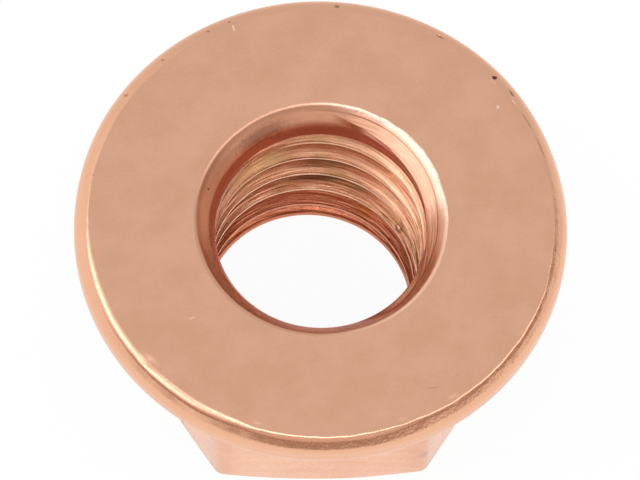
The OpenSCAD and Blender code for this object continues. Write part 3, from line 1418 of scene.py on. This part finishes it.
    def aim_camera(self, target: Vector) -> bpy.types.Object:
        """Place the camera.

        Args:
            target: middle of the bearing face, in metres.

        Returns:
            The camera's object.
        """
        data = bpy.data.cameras.new("photo_camera")
        data.sensor_width = self.sensor
        data.sensor_fit = "HORIZONTAL"
        data.lens = self.lens
        data.clip_start, data.clip_end = 0.01, 10  # metres
        camera = bpy.data.objects.new("photo_camera", data)
        around, up = math.radians(self.azimuth), math.radians(self.elevation)
        back = Vector((math.sin(around) * math.cos(up), -math.cos(around) * math.cos(up), math.sin(up)))
        level = Vector((math.cos(around), math.sin(around), 0))
        turn = Matrix.Rotation(math.radians(self.roll), 3, back)
        right, rise = turn @ level, turn @ back.cross(level)
        middle = target + (right * self.aside[0] + rise * self.aside[1]) * MM
        pose = Matrix((right, rise, back)).transposed().to_4x4()
        pose.translation = middle + back * self.distance * MM
        camera.matrix_world = pose
        bpy.context.collection.objects.link(camera)
        bpy.context.scene.camera = camera
        bpy.context.scene.view_settings.view_transform = "Standard"
        return camera


FACE_MARKS = (
    Mark(at=(5.83, 4.9, 8.0), size=(0.2, 0.09, 0.2), colour="#e4bca2", turn=-40, depth=0.015, strength=0.5),
    Mark(at=(5.91, 3.98, 8.0), size=(0.09, 0.06, 0.2), colour="#f3d6c3", turn=60),
    Mark(at=(-2.75, 6.98, 8.0), size=(0.17, 0.05, 0.2), colour="#f3d3bd", turn=100),
    Mark(at=(-7.46, 1.7, 8.0), size=(0.07, 0.05, 0.2), colour="#7a5644"),
    Mark(at=(-4.27, -3.45, 8.0), size=(0.16, 0.04, 0.2), colour="#efd2bf", turn=25, strength=0.55),
    Mark(at=(3.55, -6.02, 8.0), size=(0.3, 0.04, 0.2), colour="#b68a70", turn=8, strength=0.55, ragged=0.5),
    Mark(at=(4.3, -5.6, 8.0), size=(0.1, 0.04, 0.2), colour="#c09478", turn=30, strength=0.5),
)
SKIN_MARKS = (
    Mark(at=(-6.33, 4.6, 7.93), size=(0.11, 0.1, 0.12), colour="#c07d63", depth=0.02),
    Mark(at=(-5.09, 5.86, 7.96), size=(0.1, 0.08, 0.1), colour="#b9846a", depth=0.02),
    Mark(at=(-3.58, 6.88, 7.96), size=(0.08, 0.06, 0.1), colour="#a8745b", depth=0.02),
    Mark(at=(-2.88, 7.21, 7.96), size=(0.06, 0.05, 0.1), colour="#a8745b", depth=0.02),
    Mark(at=(0.68, 7.73, 7.96), size=(0.13, 0.09, 0.12), colour="#8a6350", depth=0.02, ragged=0.4),
    Mark(at=(4.07, 6.6, 7.96), size=(0.2, 0.05, 0.12), colour="#8a6552", turn=-32, depth=0.01),
    Mark(at=(5.84, 5.08, 7.96), size=(0.11, 0.09, 0.12), colour="#4c392d", depth=0.03, strength=0.95),
    Mark(at=(6.39, 4.51, 7.94), size=(0.2, 0.06, 0.12), colour="#8f6a55", turn=-55, depth=0.02),
    Mark(at=(6.44, 4.2, 7.97), size=(0.16, 0.06, 0.12), colour="#f0cfba", turn=-60, depth=-0.02),
    Mark(at=(6.84, 3.5, 7.97), size=(0.5, 0.05, 0.12), colour="#a67a61",
         turn=-63, depth=0.01, strength=0.6),
    Mark(at=(7.28, 2.5, 7.97), size=(0.6, 0.05, 0.12), colour="#a67a61",
         turn=-71, depth=0.01, strength=0.6),
    Mark(at=(3.36, -5.82, 2.1), size=(0.28, 0.3, 0.4), colour="#b48b78", strength=0.45, ragged=0.8),
    Mark(at=(-3.6, -5.55, 0.75), size=(0.08, 0.08, 0.2), colour="#6b4a38", strength=0.7, ragged=0.5),
    Mark(at=(-4.6, -3.95, 0.4), size=(0.1, 0.12, 0.22), colour="#6b4a38", strength=0.7, ragged=0.5),
)
SINK_MARKS = (
    Mark(at=(-1.9, 3.3, 7.6), size=(1.5, 0.5, 0.33), colour="#9a6250", turn=30, strength=0.6, ragged=1.2),
    Mark(at=(-3.65, 1.26, 7.75), size=(0.06, 0.06, 0.1), colour="#6d4635", depth=0.01),
    # two raised burrs on the near lip, white with painted glints
    Mark(at=(-2.12, -3.2, 7.6), size=(0.09, 0.07, 0.1), colour="#fff0e4", depth=-0.03),
    Mark(at=(0.65, -3.81, 7.6), size=(0.07, 0.07, 0.1), colour="#fff0e4", depth=-0.03),
)
THREAD_MARKS = (
    Mark(at=(-2.0, 2.9, 5.5), size=(1.5, 1.1, 1.5), colour="#d8af7c", strength=0.6, ragged=0.6),
    Mark(at=(0.2, 3.65, 3.19), size=(1.6, 0.6, 0.16), colour="#54392a", strength=0.75, ragged=1.0),
    Mark(at=(0.3, 3.6, 4.4), size=(1.3, 0.7, 0.15), colour="#6d4229", strength=0.65, ragged=1.2),
    Mark(at=(1.4, 3.4, 3.2), size=(0.7, 0.5, 0.3), colour="#8f6a45", strength=0.7, turn=-25, ragged=0.8),
    Mark(at=(2.7, 1.95, 2.82), size=(0.2, 0.24, 0.26), colour="#8a5d42",
         strength=0.6, depth=0.012, ragged=0.6),
    Mark(at=(2.69, 1.97, 2.82), size=(0.08, 0.12, 0.12), colour="#eec3a0", strength=0.6, depth=-0.012),
    Mark(at=(1.57, 3.06, 1.71), size=(0.5, 0.4, 0.25), colour="#c4763c",
         strength=0.7, turn=-25, ragged=0.5),
)
FACE_PLATE = CopperPlate("copper_plate_on_pressed_face", light="#dcaa8d", dark="#d3a083", marks=FACE_MARKS)
SKIN_PLATE = ForgedSkin("copper_plate_on_forged_steel", light="#fdc9aa", dark="#f4bb9b", smooth=0.23,
                        rough=0.31, grain_high=0.006, marks=SKIN_MARKS)
SINK_PLATE = TurnedSink("copper_plate_on_turned_steel", light="#f0b896", dark="#e6ac8a", smooth=0.28,
                        rough=0.38, mottle_mm=1.0, grain_high=0.001, marks=SINK_MARKS)
# the thread's dark colour is its roots': thin plate and painted shade
THREAD_PLATE = TappedThread("copper_plate_on_tapped_steel", light="#f7bf99", dark="#ab6342", smooth=0.24,
                            rough=0.38, grain_high=0.001, marks=THREAD_MARKS)


def main() -> None:
    logging.basicConfig(level=logging.INFO, format="%(message)s")
    nut = ManifoldNut.from_frame()
    piece = nut.build()
    for finish in (FACE_PLATE, SKIN_PLATE, SINK_PLATE, THREAD_PLATE):
        piece.data.materials.append(finish.make())
    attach(piece, "root")
    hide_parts("flange_nut")
    triangles = sum(len(part.vertices) - 2 for part in piece.data.polygons)
    log.info("%s: %d triangles", piece.name, triangles)
    Studio().build(Vector((0, 0, nut.nut_h * MM)))


if __name__ == "__main__":
    main()
